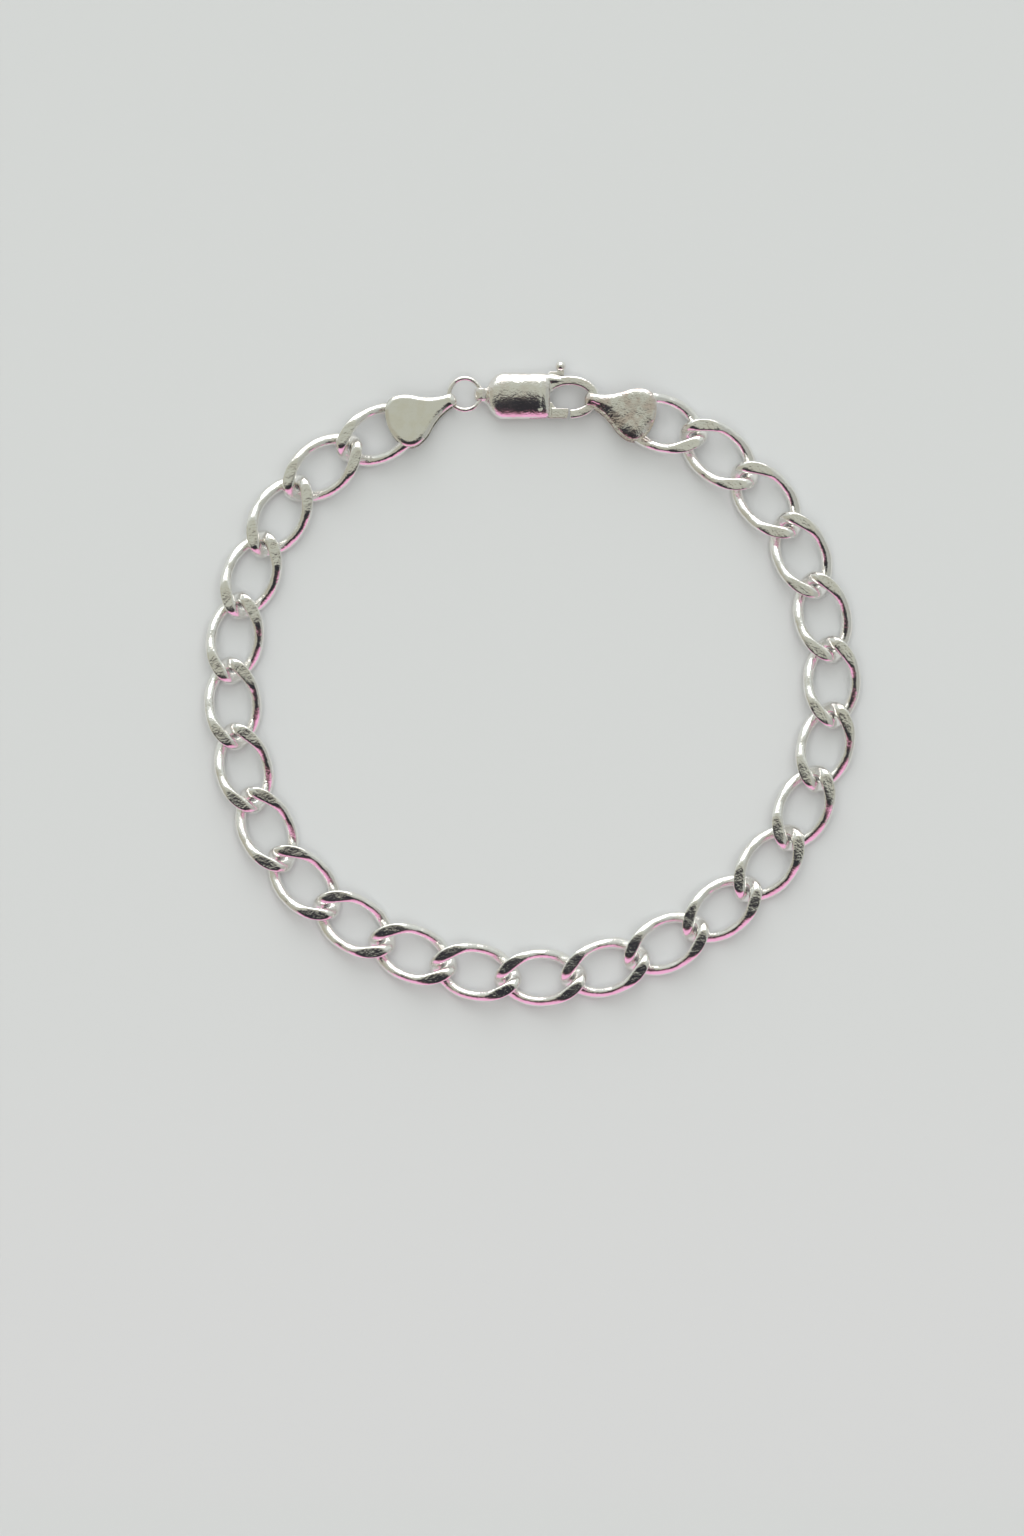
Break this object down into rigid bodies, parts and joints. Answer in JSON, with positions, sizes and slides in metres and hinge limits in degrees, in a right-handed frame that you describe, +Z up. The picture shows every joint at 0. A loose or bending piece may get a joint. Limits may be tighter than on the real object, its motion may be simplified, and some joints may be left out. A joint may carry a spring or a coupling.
{
  "type": "curb link bracelet",
  "caption": "Closed curb chain bracelet of flattened twisted links, with fan-shaped folded end caps, a jump ring and a lobster clasp with a trigger lever.",
  "frame": {"origin": "Middle of the bracelet's bounding box on the plane it lies on", "axes": "+Z is up from the surface, +X points from the jump ring towards the clasp's hook, +Y points from the loop's middle towards the clasp"},
  "size_m": [0.0666, 0.0654, 0.0026],
  "materials": {
    "link_silver": "bright polished silver",
    "cap_silver": "polished silver with fine wear scratches",
    "clasp_silver": "bright polished cast silver"
  },
  "bodies": {
    "bracelet": {"cap_left": "cap_silver", "cap_right": "cap_silver", "clasp_body": "clasp_silver", "jump_ring": "clasp_silver", "lever_pin": "clasp_silver", "link_01": "link_silver", "link_02": "link_silver", "link_03": "link_silver", "link_04": "link_silver", "link_05": "link_silver", "link_06": "link_silver", "link_07": "link_silver", "link_08": "link_silver", "link_09": "link_silver", "link_10": "link_silver", "link_11": "link_silver", "link_12": "link_silver", "link_13": "link_silver", "link_14": "link_silver", "link_15": "link_silver", "link_16": "link_silver", "link_17": "link_silver", "link_18": "link_silver", "link_19": "link_silver", "link_20": "link_silver", "link_21": "link_silver", "link_22": "link_silver", "link_23": "link_silver", "link_24": "link_silver", "link_25": "link_silver"},
    "lever": {"clasp_lever": "clasp_silver"}
  },
  "joints": [
    {"name": "lever_hinge", "type": "hinge", "parent": "bracelet", "child": "lever", "pos_m": [0.0008, 0.0278, 0.0012], "axis": [0, 0, 1], "range_deg": [0, 25], "stiffness_Nm_per_rad": 0.001, "springref_deg": -17.19}
  ]
}
